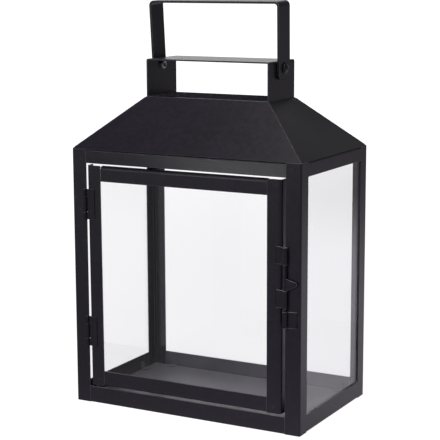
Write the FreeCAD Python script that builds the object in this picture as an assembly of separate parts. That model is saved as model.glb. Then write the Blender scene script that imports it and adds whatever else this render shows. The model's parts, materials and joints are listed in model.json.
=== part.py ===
import FreeCAD, Part
import math
import os

# Candle lantern in folded sheet metal.
# Frame: millimetres, +Z up, X to the right and Y to the back as seen from the door side.
# Origin: middle of the base on the surface that the lantern stands on.

Vector = FreeCAD.Vector

# ---- driving dimensions ----
WIDTH = 200.0
DEPTH = 122.0
EAVE_Z = 206.0
ROOF_TOP_Z = 246.0
ROOF_TOP_WIDTH = 108.0
ROOF_TOP_DEPTH = 46.0
SHEET = 1.0
FOLD_RADIUS = 0.3

POST_FRONT_FLANGE = 12.7
POST_SIDE_FLANGE = 12.0
TOP_RAIL_HEIGHT = 10.9
BOTTOM_RAIL_HEIGHT = 13.4
RAIL_FLANGE = 10.0

GLASS = 2.0
PANE_TOP_GAP = 2.0
PANE_END_GAP = 1.5
CLIP_WIDTH = 7.0
CLIP_SHEET = 0.6
CLIP_LEG = 6.0
SIDE_CLIP_Y = 36.0
BACK_CLIP_X = 78.0
DOOR_CLIP_Z = (40.0, 168.0)
DOOR_CLIP_FOOT = 4.0
SHEET_INSET = 0.5

DOOR_LEFT_X = -86.0
DOOR_RIGHT_X = 84.3
DOOR_BOTTOM_Z = 15.0
DOOR_TOP_Z = 193.5
DOOR_MEMBER = 12.3
DOOR_RETURN = 7.0
DOOR_TOP_RETURN = 2.6  # narrow, so the gap above the door stays open to the eye

HINGE_HEIGHT = 24.3
HINGE_BOTTOMS = {"lower": 47.4, "upper": 150.4}
HINGE_X = -88.2
HINGE_LEAF_END_X = -79.6
HINGE_KNUCKLE_RADIUS = 1.55
HINGE_PIN_RADIUS = 0.75
HINGE_POST_KNUCKLE = 11.8
HINGE_GAP = 0.3
PIN_CLEARANCE = 0.05
LEAF_SHEET = 0.75
LEAF_LAP = 0.6
KNUCKLE_STANDOFF = 0.2
POST_WEB_GAP = 0.15

LATCH_X = 88.0
LATCH_KNUCKLE_RADIUS = 1.85
BOLT_RADIUS = 1.15
KEEPER_LEAF_START = 1.5
BOLT_BOTTOM_Z = 86.8
BOLT_TOP_Z = 143.2
DOOR_KEEPERS = {"lower": (97.5, 111.2), "upper": (130.6, 143.8)}
DOOR_KEEPER_LEAF_X = 79.8
POST_KEEPER_Z = (82.8, 95.3)
POST_KEEPER_LEAF_X = 97.4
TAB_LENGTH = 9.9
TAB_HEIGHT = 9.0
TAB_SHEET = 1.2
TAB_TIP_HEIGHT = 5.3
TAB_NOSE_RADIUS = 1.8
TAB_LOW_ANGLE = -70.0
TAB_HIGH_ANGLE = 75.0
TAB_SEAT_GAP = 0.1
BOLT_CHAMFER = 0.3

CAP_SHEET = 1.2
CAP_TOP_Z = 275.6
CAP_DEPTH = 45.0

PIVOT_Z = 270.0
HANDLE_STRIP = 19.0
HANDLE_SHEET = 1.8
HANDLE_TOP_Z = 321.2
HANDLE_BOTTOM_Z = 261.6
HANDLE_ARM_BOTTOM_X = 55.4
HANDLE_ARM_TOP_X = 56.4
HANDLE_BEND_RADIUS = 3.2
HANDLE_END_RADIUS = 4.0
HANDLE_END_TRIM = 0.05
HANDLE_LEAN = 3.0

RIVET_SHANK_RADIUS = 2.0
RIVET_RIM_RADIUS = 4.4
RIVET_RIM = 0.7
RIVET_DOME_RADIUS = 3.5
RIVET_DOME_HEIGHT = 1.7
RIVET_DOME_STEP = 15
RIVET_TAIL_RADIUS = 3.6
RIVET_TAIL_LENGTH = 2.6
RIVET_BORE_RADIUS = 1.2
RIVET_RIM_EDGE = 0.2
RIVET_FLARE = 0.9
RIVET_TAIL_LIP = 0.5
RIVET_BORE_STOP = 0.4
RIVET_GAP = 0.15

# ---- dimensions that follow ----
HALF_WIDTH = WIDTH / 2
HALF_DEPTH = DEPTH / 2
FRONT_Y = -HALF_DEPTH
POST_INNER_X = HALF_WIDTH - POST_FRONT_FLANGE
POST_INNER_Y = HALF_DEPTH - POST_SIDE_FLANGE
FLOOR_TOP_Z = 2 * SHEET
PANE_BOTTOM_Z = SHEET + FOLD_RADIUS
PANE_TOP_Z = EAVE_Z - PANE_TOP_GAP
HINGE_Y = FRONT_Y - HINGE_KNUCKLE_RADIUS - KNUCKLE_STANDOFF
LATCH_Y = FRONT_Y - LATCH_KNUCKLE_RADIUS - KNUCKLE_STANDOFF
EAR_X = ROOF_TOP_WIDTH / 2


# ---- building blocks ----
def save(name, shape):
    """Write one node; its file name is the node's name."""
    shape.exportStep(os.path.join("parts", name + ".step"))


def block(x0, x1, y0, y1, z0, z1):
    """Rectangular solid between two corners given in any order."""
    xs, ys, zs = sorted((x0, x1)), sorted((y0, y1)), sorted((z0, z1))
    return Part.makeBox(xs[1] - xs[0], ys[1] - ys[0], zs[1] - zs[0], Vector(xs[0], ys[0], zs[0]))


def cylinder(radius, start, end):
    """Round bar from one point to another."""
    axis = end - start
    return Part.makeCylinder(radius, axis.Length, start, axis)


def strip_edges(points, thickness, radius):
    """Outline of a bent strip in a plane: its centre line is the polyline with an arc at each bend.

    Each side of the strip is the centre line moved half a thickness to the left or right, so an arc
    keeps its centre and only its radius changes.
    """
    pts = [Vector(u, v, 0) for u, v in points]
    bend = radius + thickness / 2
    along = [(b - a).normalize() for a, b in zip(pts, pts[1:])]
    left = [Vector(-d.y, d.x, 0) for d in along]
    sides = []
    for side in (0.5 * thickness, -0.5 * thickness):
        edges = []
        start = pts[0] + left[0] * side
        for i in range(1, len(pts) - 1):
            turn = along[i - 1].getAngle(along[i])
            back = bend * math.tan(turn / 2)
            first = pts[i] - along[i - 1] * back
            last = pts[i] + along[i] * back
            inward = (along[i] - along[i - 1]).normalize()
            centre = pts[i] + inward * (bend / math.cos(turn / 2))
            p0 = first + left[i - 1] * side
            p2 = last + left[i] * side
            middle = centre - inward * (p0 - centre).Length
            edges.append(Part.LineSegment(start, p0).toShape())
            edges.append(Part.Arc(p0, middle, p2).toShape())
            start = p2
        end = pts[-1] + left[-1] * side
        edges.append(Part.LineSegment(start, end).toShape())
        sides.append((pts[0] + left[0] * side, edges, end))
    caps = [
        Part.LineSegment(sides[0][0], sides[1][0]).toShape(),
        Part.LineSegment(sides[0][2], sides[1][2]).toShape(),
    ]
    return sides[0][1] + sides[1][1] + caps


def bent_strip(points, thickness, radius, plane, start, end):
    """Bent strip: the outline drawn in the XY, XZ or YZ plane, carried along the third axis."""
    face = Part.Face(Part.Wire(Part.__sortEdges__(strip_edges(points, thickness, radius))))
    solid = face.extrude(Vector(0, 0, end - start))
    if plane == "XY":
        placement = FreeCAD.Placement(Vector(0, 0, start), FreeCAD.Rotation())
    elif plane == "XZ":
        placement = FreeCAD.Placement(Vector(0, end, 0), FreeCAD.Rotation(Vector(1, 0, 0), 90))
    else:
        placement = FreeCAD.Placement(Vector(start, 0, 0), FreeCAD.Rotation(Vector(1, 1, 1), 120))
    solid.Placement = placement
    return solid


def turned(profile, centre, axis):
    """Solid of revolution: profile points are (distance along the axis, radius)."""
    pts = [Vector(r, 0, a) for a, r in profile]
    wire = Part.makePolygon(pts + [pts[0]])
    solid = Part.Face(wire).revolve(Vector(0, 0, 0), Vector(0, 0, 1), 360)
    solid.Placement = FreeCAD.Placement(centre, FreeCAD.Rotation(Vector(0, 0, 1), axis))
    return solid


def knuckle(x, y, z0, z1, outer, bore):
    """Rolled knuckle: a tube standing on the pin axis."""
    tube = cylinder(outer, Vector(x, y, z0), Vector(x, y, z1))
    return tube.cut(cylinder(bore, Vector(x, y, z0 - 1), Vector(x, y, z1 + 1)))


# ---- frame ----
def corner_posts():
    """Four folded angles, the corner outwards, standing from the base to the eave."""
    middle = SHEET / 2
    for side, sx in (("left", -1), ("right", 1)):
        for end, sy in (("front", -1), ("back", 1)):
            path = [
                (sx * POST_INNER_X, sy * (HALF_DEPTH - middle)),
                (sx * (HALF_WIDTH - middle), sy * (HALF_DEPTH - middle)),
                (sx * (HALF_WIDTH - middle), sy * POST_INNER_Y),
            ]
            post = bent_strip(path, SHEET, FOLD_RADIUS, "XY", 0, EAVE_Z)
            save("post_" + end + "_" + side, post)


def rails():
    """Folded angles butted between the posts: upright flange outside, the other turned in."""
    middle = SHEET / 2
    levels = (
        ("top_rail_", EAVE_Z - middle, EAVE_Z - TOP_RAIL_HEIGHT),
        ("bottom_rail_", middle, BOTTOM_RAIL_HEIGHT),
    )
    for name, fold_z, free_z in levels:
        for end, sy in (("front", -1), ("back", 1)):
            path = [
                (sy * (HALF_DEPTH - RAIL_FLANGE), fold_z),
                (sy * (HALF_DEPTH - middle), fold_z),
                (sy * (HALF_DEPTH - middle), free_z),
            ]
            rail = bent_strip(path, SHEET, FOLD_RADIUS, "YZ", -POST_INNER_X, POST_INNER_X)
            save(name + end, rail)
        for side, sx in (("left", -1), ("right", 1)):
            path = [
                (sx * (HALF_WIDTH - RAIL_FLANGE), fold_z),
                (sx * (HALF_WIDTH - middle), fold_z),
                (sx * (HALF_WIDTH - middle), free_z),
            ]
            rail = bent_strip(path, SHEET, FOLD_RADIUS, "XZ", -POST_INNER_Y, POST_INNER_Y)
            save(name + side, rail)


def floor():
    """Flat floor on the rails' turned-in feet, inside the panes and clear of the posts' folds."""
    inset = SHEET + GLASS + SHEET_INSET
    save(
        "floor_plate",
        block(
            -HALF_WIDTH + inset, HALF_WIDTH - inset,
            FRONT_Y + SHEET + SHEET_INSET, HALF_DEPTH - inset,
            SHEET, FLOOR_TOP_Z,
        ),
    )


def roof():
    """Four sheets of a hipped frustum with an open top, mitred at the hips and cut level.

    The frustum's shell is an outer loft less an inner loft; each sheet is the shell's part between
    the two vertical planes that hold its hips.
    """
    def ring(half_x, half_y, z):
        corners = [(-half_x, -half_y), (half_x, -half_y), (half_x, half_y), (-half_x, half_y)]
        return Part.makePolygon([Vector(x, y, z) for x, y in corners + corners[:1]])

    rise = ROOF_TOP_Z - EAVE_Z
    top_x, top_y = ROOF_TOP_WIDTH / 2, ROOF_TOP_DEPTH / 2
    wall_x = SHEET * math.hypot(1, (HALF_WIDTH - top_x) / rise)
    wall_y = SHEET * math.hypot(1, (HALF_DEPTH - top_y) / rise)
    outer = Part.makeLoft([ring(HALF_WIDTH, HALF_DEPTH, EAVE_Z), ring(top_x, top_y, ROOF_TOP_Z)], True, True)
    inner = Part.makeLoft(
        [
            ring(HALF_WIDTH - wall_x, HALF_DEPTH - wall_y, EAVE_Z),
            ring(top_x - wall_x, top_y - wall_y, ROOF_TOP_Z),
        ],
        True, True,
    )
    shell = outer.cut(inner)

    def hip(sx, sy, t):
        """Plan of a point on a hip line: t is 0 at the eave and 1 at the rim of the open top."""
        x = HALF_WIDTH + t * (top_x - HALF_WIDTH)
        y = HALF_DEPTH + t * (top_y - HALF_DEPTH)
        return Vector(sx * x, sy * y, EAVE_Z - 1)

    corners = {
        "front": ((-1, -1), (1, -1)),
        "right": ((1, -1), (1, 1)),
        "back": ((1, 1), (-1, 1)),
        "left": ((-1, 1), (-1, -1)),
    }
    past = 0.1
    for name, (a, b) in corners.items():
        outline = [hip(*a, -past), hip(*a, 1 + past), hip(*b, 1 + past), hip(*b, -past)]
        wedge = Part.Face(Part.makePolygon(outline + outline[:1])).extrude(Vector(0, 0, rise + 2))
        save("roof_panel_" + name, shell.common(wedge))


def cap_bracket():
    """Inverted U of flat strip: two ears on the roof's rim and the cap plate between them."""
    middle = CAP_SHEET / 2
    path = [
        (-EAR_X + middle, ROOF_TOP_Z),
        (-EAR_X + middle, CAP_TOP_Z - middle),
        (EAR_X - middle, CAP_TOP_Z - middle),
        (EAR_X - middle, ROOF_TOP_Z),
    ]
    bracket = bent_strip(path, CAP_SHEET, FOLD_RADIUS, "XZ", -CAP_DEPTH / 2, CAP_DEPTH / 2)
    hole = cylinder(
        RIVET_SHANK_RADIUS + PIN_CLEARANCE,
        Vector(-HALF_WIDTH, 0, PIVOT_Z), Vector(HALF_WIDTH, 0, PIVOT_Z),
    )
    save("cap_bracket", bracket.cut(hole))


# ---- handle ----
def handle():
    """Flat strip bent to a U, arms slightly splayed, rounded ends, leaning a little forward."""
    path = [
        (-HANDLE_ARM_BOTTOM_X, HANDLE_BOTTOM_Z),
        (-HANDLE_ARM_TOP_X, HANDLE_TOP_Z - HANDLE_SHEET / 2),
        (HANDLE_ARM_TOP_X, HANDLE_TOP_Z - HANDLE_SHEET / 2),
        (HANDLE_ARM_BOTTOM_X, HANDLE_BOTTOM_Z),
    ]
    half = HANDLE_STRIP / 2
    bail = bent_strip(path, HANDLE_SHEET, HANDLE_BEND_RADIUS, "XZ", -half, half)
    blank = block(
        -HALF_WIDTH, HALF_WIDTH, -half, half, HANDLE_BOTTOM_Z + HANDLE_END_TRIM, HANDLE_TOP_Z + 1
    )
    ends = [
        edge for edge in blank.Edges
        if abs(edge.Curve.Direction.x) > 0.9 and edge.CenterOfMass.z < PIVOT_Z
    ]
    bail = bail.common(blank.makeFillet(HANDLE_END_RADIUS, ends))
    hole = cylinder(
        RIVET_SHANK_RADIUS + PIN_CLEARANCE,
        Vector(-HALF_WIDTH, 0, PIVOT_Z), Vector(HALF_WIDTH, 0, PIVOT_Z),
    )
    bail = bail.cut(hole)
    bail.rotate(Vector(0, 0, PIVOT_Z), Vector(1, 0, 0), HANDLE_LEAN)
    save("handle", bail)


def handle_rivets():
    """Pivot rivets: domed head with a thin rim outside the arm, open flared tail inside the ear."""
    arm_outer_x = HANDLE_ARM_BOTTOM_X + HANDLE_SHEET / 2
    arm_outer_x += (PIVOT_Z + RIVET_RIM_RADIUS - HANDLE_BOTTOM_Z) * (
        (HANDLE_ARM_TOP_X - HANDLE_ARM_BOTTOM_X) / (HANDLE_TOP_Z - HANDLE_BOTTOM_Z)
    )
    head_x = arm_outer_x + RIVET_GAP
    tail_x = EAR_X - CAP_SHEET
    dome_x = head_x + RIVET_RIM
    dome = [
        (
            dome_x + RIVET_DOME_HEIGHT * math.sin(math.radians(a)),
            RIVET_DOME_RADIUS * math.cos(math.radians(a)),
        )
        for a in range(0, 90, RIVET_DOME_STEP)
    ]
    profile = [
        (tail_x - RIVET_TAIL_LENGTH, RIVET_BORE_RADIUS),
        (tail_x - RIVET_TAIL_LENGTH, RIVET_BORE_RADIUS + RIVET_TAIL_LIP),
        (tail_x - RIVET_FLARE, RIVET_TAIL_RADIUS),
        (tail_x, RIVET_TAIL_RADIUS),
        (tail_x, RIVET_SHANK_RADIUS),
        (head_x, RIVET_SHANK_RADIUS),
        (head_x, RIVET_RIM_RADIUS),
        (dome_x - RIVET_RIM_EDGE, RIVET_RIM_RADIUS),
        (dome_x, RIVET_RIM_RADIUS - RIVET_RIM_EDGE),
    ] + dome + [
        (dome_x + RIVET_DOME_HEIGHT, 0),
        (tail_x + RIVET_BORE_STOP, 0),
        (tail_x + RIVET_BORE_STOP, RIVET_BORE_RADIUS),
    ]
    for side, sx in (("left", -1), ("right", 1)):
        rivet = turned(profile, Vector(0, 0, PIVOT_Z), Vector(sx, 0, 0))
        save("handle_rivet_" + side, rivet)


# ---- fixed glass ----
def fixed_glass():
    """Side and back panes against the posts' inner faces, standing on the rails' feet."""
    for side, sx in (("left", -1), ("right", 1)):
        face = sx * (HALF_WIDTH - SHEET)
        pane = block(
            face, face - sx * GLASS,
            FRONT_Y + SHEET + PANE_END_GAP, HALF_DEPTH - SHEET - GLASS - SHEET_INSET,
            PANE_BOTTOM_Z, PANE_TOP_Z,
        )
        save("glass_" + side, pane)
    reach = HALF_WIDTH - SHEET - GLASS - PANE_END_GAP
    face = HALF_DEPTH - SHEET
    save("glass_back", block(-reach, reach, face, face - GLASS, PANE_BOTTOM_Z, PANE_TOP_Z))


def glass_clips():
    """Bent tabs inside the fixed panes: two on the floor and two under the top flange for each."""
    tabs = []
    low_foot, low_leg = FLOOR_TOP_Z + CLIP_SHEET / 2, FLOOR_TOP_Z + CLIP_LEG
    high_foot, high_leg = EAVE_Z - SHEET - CLIP_SHEET / 2, EAVE_Z - SHEET - CLIP_LEG
    across_x = HALF_WIDTH - SHEET - GLASS
    across_y = HALF_DEPTH - SHEET - GLASS
    half = CLIP_WIDTH / 2
    for foot_z, leg_z in ((low_foot, low_leg), (high_foot, high_leg)):
        for sign in (-1, 1):
            leg = sign * (across_x - CLIP_SHEET / 2)
            path = [(leg - sign * CLIP_LEG, foot_z), (leg, foot_z), (leg, leg_z)]
            for y in (-SIDE_CLIP_Y, SIDE_CLIP_Y):
                tabs.append(bent_strip(path, CLIP_SHEET, FOLD_RADIUS, "XZ", y - half, y + half))
        leg = across_y - CLIP_SHEET / 2
        path = [(leg - CLIP_LEG, foot_z), (leg, foot_z), (leg, leg_z)]
        for x in (-BACK_CLIP_X, BACK_CLIP_X):
            tabs.append(bent_strip(path, CLIP_SHEET, FOLD_RADIUS, "YZ", x - half, x + half))
    save("glass_clips", Part.makeCompound(tabs))


# ---- door ----
def door_frame():
    """Two full-height stiles and two rails between them, folded angles with the return inside."""
    middle = SHEET / 2
    back = FRONT_Y + SHEET + DOOR_RETURN
    for side, edge, sx in (("left", DOOR_LEFT_X, 1), ("right", DOOR_RIGHT_X, -1)):
        path = [
            (edge + sx * DOOR_MEMBER, FRONT_Y + middle),
            (edge + sx * middle, FRONT_Y + middle),
            (edge + sx * middle, back),
        ]
        stile = bent_strip(path, SHEET, FOLD_RADIUS, "XY", DOOR_BOTTOM_Z, DOOR_TOP_Z)
        save("door_stile_" + side, stile)
    rails = (("bottom", DOOR_BOTTOM_Z, 1, DOOR_RETURN), ("top", DOOR_TOP_Z, -1, DOOR_TOP_RETURN))
    for end, edge, sz, turned_in in rails:
        path = [
            (FRONT_Y + middle, edge + sz * DOOR_MEMBER),
            (FRONT_Y + middle, edge + sz * middle),
            (FRONT_Y + SHEET + turned_in, edge + sz * middle),
        ]
        rail = bent_strip(
            path, SHEET, FOLD_RADIUS, "YZ", DOOR_LEFT_X + DOOR_MEMBER, DOOR_RIGHT_X - DOOR_MEMBER
        )
        save("door_rail_" + end, rail)


def door_glass():
    """Door pane behind the frame's front flanges, held by bent tabs on the returns."""
    inset = SHEET + FOLD_RADIUS
    front = FRONT_Y + SHEET
    pane = block(
        DOOR_LEFT_X + inset, DOOR_RIGHT_X - inset,
        front, front + GLASS,
        DOOR_BOTTOM_Z + inset, DOOR_TOP_Z - inset,
    )
    save("door_glass", pane)
    tabs = []
    half = CLIP_WIDTH / 2
    leg_y = front + GLASS + CLIP_SHEET / 2
    for edge, sx in ((DOOR_LEFT_X + SHEET, 1), (DOOR_RIGHT_X - SHEET, -1)):
        foot = edge + sx * CLIP_SHEET / 2
        path = [(foot, leg_y + DOOR_CLIP_FOOT), (foot, leg_y), (foot + sx * CLIP_LEG, leg_y)]
        for z in DOOR_CLIP_Z:
            tabs.append(bent_strip(path, CLIP_SHEET, FOLD_RADIUS, "XY", z - half, z + half))
    save("door_glass_clips", Part.makeCompound(tabs))


def hinges():
    """Two hinges: the door leaf has an end knuckle at top and bottom, the post leaf the middle one."""
    bore = HINGE_PIN_RADIUS + PIN_CLEARANCE
    end_knuckle = (HINGE_HEIGHT - HINGE_POST_KNUCKLE) / 2 - HINGE_GAP
    knuckle_back = HINGE_Y + HINGE_KNUCKLE_RADIUS
    for name, z0 in HINGE_BOTTOMS.items():
        z1 = z0 + HINGE_HEIGHT
        leaf = block(
            DOOR_LEFT_X, HINGE_LEAF_END_X, FRONT_Y, FRONT_Y - LEAF_SHEET, z0, z1
        )
        pin_hole = cylinder(bore, Vector(HINGE_X, HINGE_Y, z0 - 1), Vector(HINGE_X, HINGE_Y, z1 + 1))
        for k0 in (z0, z1 - end_knuckle):
            k1 = k0 + end_knuckle
            tail = block(HINGE_X, DOOR_LEFT_X + LEAF_LAP, knuckle_back, knuckle_back - LEAF_SHEET, k0, k1)
            tube = knuckle(HINGE_X, HINGE_Y, k0, k1, HINGE_KNUCKLE_RADIUS, bore)
            leaf = leaf.fuse([tail, tube])
        save("hinge_door_leaf_" + name, leaf.cut(pin_hole).removeSplitter())

        k0 = z0 + end_knuckle + HINGE_GAP
        k1 = z1 - end_knuckle - HINGE_GAP
        inner_y = FRONT_Y + SHEET
        web_x = -POST_INNER_X + POST_WEB_GAP
        post_leaf = block(
            -HALF_WIDTH + 2 * SHEET, web_x + LEAF_SHEET, inner_y, inner_y + LEAF_SHEET, k0, k1
        )
        web = block(web_x, web_x + LEAF_SHEET, HINGE_Y, inner_y + LEAF_SHEET, k0, k1)
        tube = knuckle(HINGE_X, HINGE_Y, k0, k1, HINGE_KNUCKLE_RADIUS, bore)
        post_leaf = post_leaf.fuse([web, tube]).cut(pin_hole).removeSplitter()
        save("hinge_post_leaf_" + name, post_leaf)

        pin = cylinder(
            HINGE_PIN_RADIUS, Vector(HINGE_X, HINGE_Y, z0), Vector(HINGE_X, HINGE_Y, z1)
        )
        save("hinge_pin_" + name, pin)


# ---- latch ----
def keeper(leaf_x, z0, z1):
    """Leaf on the front face with one rolled knuckle that the bolt runs in."""
    bore = BOLT_RADIUS + PIN_CLEARANCE
    knuckle_back = LATCH_Y + LATCH_KNUCKLE_RADIUS
    outward = math.copysign(1, leaf_x - LATCH_X)
    leaf_start = LATCH_X + outward * (LATCH_KNUCKLE_RADIUS + KEEPER_LEAF_START)
    leaf = block(leaf_start, leaf_x, FRONT_Y, FRONT_Y - LEAF_SHEET, z0, z1)
    tail = block(
        LATCH_X, leaf_start + outward * LEAF_LAP,
        knuckle_back, knuckle_back - LEAF_SHEET, z0, z1,
    )
    tube = knuckle(LATCH_X, LATCH_Y, z0, z1, LATCH_KNUCKLE_RADIUS, bore)
    hole = cylinder(bore, Vector(LATCH_X, LATCH_Y, z0 - 1), Vector(LATCH_X, LATCH_Y, z1 + 1))
    return leaf.fuse([tail, tube]).cut(hole).removeSplitter()


def latch():
    """Two keepers on the door, one on the post, and the bolt that drops through all three."""
    for name, (z0, z1) in DOOR_KEEPERS.items():
        save("latch_keeper_" + name, keeper(DOOR_KEEPER_LEAF_X, z0, z1))
    save("latch_keeper_post", keeper(POST_KEEPER_LEAF_X, *POST_KEEPER_Z))

    rod = cylinder(
        BOLT_RADIUS, Vector(LATCH_X, LATCH_Y, BOLT_BOTTOM_Z), Vector(LATCH_X, LATCH_Y, BOLT_TOP_Z)
    )
    ends = [edge for edge in rod.Edges if edge.Closed]
    rod = rod.makeChamfer(BOLT_CHAMFER, ends)
    foot = DOOR_KEEPERS["lower"][1] + TAB_SEAT_GAP
    nose = Vector(LATCH_X + TAB_LENGTH - TAB_NOSE_RADIUS, 0, foot + TAB_TIP_HEIGHT)
    heel = Vector(LATCH_X + BOLT_RADIUS, 0, foot)
    shoulder = Vector(LATCH_X + BOLT_RADIUS, 0, foot + TAB_HEIGHT)
    low, high = (
        Vector(math.cos(math.radians(a)), 0, math.sin(math.radians(a))) * TAB_NOSE_RADIUS
        for a in (TAB_LOW_ANGLE, TAB_HIGH_ANGLE)
    )
    outline = [
        Part.LineSegment(heel, nose + low),
        Part.Arc(nose + low, nose + Vector(TAB_NOSE_RADIUS, 0, 0), nose + high),
        Part.LineSegment(nose + high, shoulder),
        Part.LineSegment(shoulder, Vector(LATCH_X, 0, shoulder.z)),
        Part.LineSegment(Vector(LATCH_X, 0, shoulder.z), Vector(LATCH_X, 0, foot)),
        Part.LineSegment(Vector(LATCH_X, 0, foot), heel),
    ]
    wire = Part.Wire([curve.toShape() for curve in outline])
    plate = Part.Face(wire).extrude(Vector(0, TAB_SHEET, 0))
    plate.translate(Vector(0, LATCH_Y - TAB_SHEET / 2, 0))
    save("latch_bolt", rod.fuse(plate).removeSplitter())


os.makedirs("parts", exist_ok=True)
corner_posts()
rails()
floor()
roof()
cap_bracket()
handle()
handle_rivets()
fixed_glass()
glass_clips()
door_frame()
door_glass()
hinges()
latch()
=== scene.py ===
import json
import math

import bpy
import numpy as np
from mathutils import Matrix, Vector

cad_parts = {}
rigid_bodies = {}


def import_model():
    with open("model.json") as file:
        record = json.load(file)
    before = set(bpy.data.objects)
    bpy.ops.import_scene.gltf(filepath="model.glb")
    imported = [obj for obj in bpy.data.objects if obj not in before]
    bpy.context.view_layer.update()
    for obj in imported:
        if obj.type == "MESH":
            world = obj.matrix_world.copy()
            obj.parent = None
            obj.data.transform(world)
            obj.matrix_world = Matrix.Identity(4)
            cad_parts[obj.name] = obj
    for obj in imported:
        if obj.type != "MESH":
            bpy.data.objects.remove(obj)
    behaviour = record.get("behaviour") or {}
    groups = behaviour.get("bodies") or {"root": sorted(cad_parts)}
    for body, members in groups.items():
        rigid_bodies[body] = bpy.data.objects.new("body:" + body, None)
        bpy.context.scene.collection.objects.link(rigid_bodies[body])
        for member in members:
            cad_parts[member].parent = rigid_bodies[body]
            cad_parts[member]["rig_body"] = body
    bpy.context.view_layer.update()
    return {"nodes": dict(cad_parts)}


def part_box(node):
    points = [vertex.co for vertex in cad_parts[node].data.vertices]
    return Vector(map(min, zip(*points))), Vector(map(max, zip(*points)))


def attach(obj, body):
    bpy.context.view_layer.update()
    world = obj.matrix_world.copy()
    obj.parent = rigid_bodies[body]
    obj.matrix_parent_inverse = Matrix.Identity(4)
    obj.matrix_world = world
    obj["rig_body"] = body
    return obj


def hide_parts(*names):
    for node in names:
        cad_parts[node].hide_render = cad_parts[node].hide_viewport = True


# Candle lantern in folded sheet steel under black powder coat, with glass panes.
# Lengths are in millimetres, +Z up, X to the right and Y to the back as seen from the door side,
# and turn to metres where a mesh is written. Places come from the frame's own boxes, and what a
# box doesn't say, such as a bend's radius or a strip's course, is a named value below.

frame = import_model()

MM = 0.001
X, Y, Z = 0, 1, 2
LO, HI = 0, 1

# ---- sheet and its finish ----
SHEET = 1.0
FOLD_RADIUS = 0.8  # centre line of a tight fold
OPEN_FOLD_RADIUS = 2.2  # centre line of the door members' softer fold
EDGE_ROUND = 0.22  # cut edges under the coat
EDGE_STEPS = 3
HOLD = 0.35  # a flat's last line before a fold, which keeps the flat's shading flat
SHARP_ANGLE = math.radians(40)

# ---- hardware ----
LEAF_SHEET = 0.75
LEAF_CORNER = 1.0
CURL_TURN = 318.0  # degrees that a knuckle is rolled by
HINGE_END_KNUCKLE = 5.95
HINGE_NOTCH_X = -85.9
KEEPER_BEND_X = 5.0
PIN_DOME = 0.25
KNUCKLE_BEND_RADIUS = 0.5  # where a leaf steps forward to its knuckle
DOOR_LEAF_STEP = (0.6, -0.3)  # start and end of that step, from the notch
POST_LEAF_STEP_Y = 1.1  # the post leaf's web ends this far behind the pin's axis
POST_CURL_TURN = 278.0
KEEPER_STEP = 1.0
KEEPER_CORNER = 0.6
KEEPER_CURL_EASE = 0.01  # keeps the curl's facets inside the CAD box
HINGE_EDGE_ROUND = 0.1
LATCH_EDGE_ROUND = 0.3

TAB_SHEET = 1.2
TAB_SEAT_GAP = 0.1
TAB_HEIGHT = 9.0
TAB_TIP_HEIGHT = 5.3
TAB_NOSE_RADIUS = 1.8
TAB_NOSE_TURN = (-70, 75)  # degrees, from the lower flank to the upper one
BOLT_DOME = 0.5

CAP_SHEET = 1.2
CAP_BEND_RADIUS = 0.9
HANDLE_SHEET = 1.8
HANDLE_BEND_RADIUS = 3.2
HANDLE_STRIP = 19.0
HANDLE_END_RADIUS = 4.0
HANDLE_ARM_BOTTOM_X = 55.4
HANDLE_ARM_TOP_X = 56.4
HANDLE_TOP_Z = 321.2
HANDLE_BOTTOM_Z = 261.65
HANDLE_LEAN = math.radians(3.0)
PIVOT_Z = 270.0

RIVET_RIM = 0.7
RIVET_DOME_RADIUS = 3.5
RIVET_DOME_HEIGHT = 1.7
RIVET_SHANK_RADIUS = 2.0
RIVET_TAIL_RADIUS = 3.6
RIVET_TAIL_LENGTH = 2.6
RIVET_BORE_RADIUS = 1.2
RIVET_BORE_DEPTH = 3.0
RIVET_LIP_ROLL = 0.9  # height of the rolled lip as a part of its half width
RIVET_EASE = 0.15
RIVET_CROWN_STEP = 0.2  # the dome starts this far in from the rim
RIVET_COAT_REACH = 0.2  # the coat reaches this far behind the head

ROOF_RIM = (54.0, 23.0)  # half width and half depth of the open top
ROOF_SAG = 0.35
ROOF_EDGE_ROUND = 0.42  # mitred edges, dressed after welding
STILE_LEAN = 0.5  # the hung door closes the gap at its upper left by this much
RAIL_LEAN = 1.6  # the front top rail's upper edge goes back by this much at its right
RAIL_LEAN_SPAN = 0.78
RAIL_STATIONS = 25
HIP_BEAD_RADIUS = 0.45
HIP_BEAD_SINK = 0.2
HIP_BEAD_INSET = 1.6

CLIP_WIDTH = 7.0
CLIP_SHEET = 0.6
CLIP_LEG = 6.0
CLIP_FOLD = 0.6
CLIP_CORNER = 1.0
CLIP_EDGE_ROUND = 0.12
SIDE_CLIP_Y = (-36.0, 36.0)
BACK_CLIP_X = (-78.0, 78.0)
DOOR_CLIP_Z = (40.0, 168.0)
DOOR_CLIP_FOOT = 4.0

# Spot welds show through the coat as shallow bumps on the front faces, at these (x, z).
SPOT_WELDS = {
    "post_front_left": ((-92.0, 198.0), (-97.0, 167.0), (-93.0, 158.0)),
    "post_front_right": ((92.0, 201.0),),
    "bottom_rail_front": ((-32.0, 10.0),),
    "door_rail_top": ((-42.0, 190.0), (38.0, 190.0)),
    "door_stile_left": ((-79.0, 20.0),),
    "door_stile_right": ((78.0, 20.0),),
}
SPOT_RADIUS = 0.9
SPOT_HEIGHT = 0.14


# ---- mesh building blocks ----
def box_mm(node):
    """Lowest and highest corner of a CAD node, in millimetres."""
    lo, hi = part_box(node)
    return np.array(lo) / MM, np.array(hi) / MM


def turned_left(v):
    """A plane vector turned a quarter turn to the left."""
    return np.stack([-v[..., 1], v[..., 0]], -1)


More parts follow.
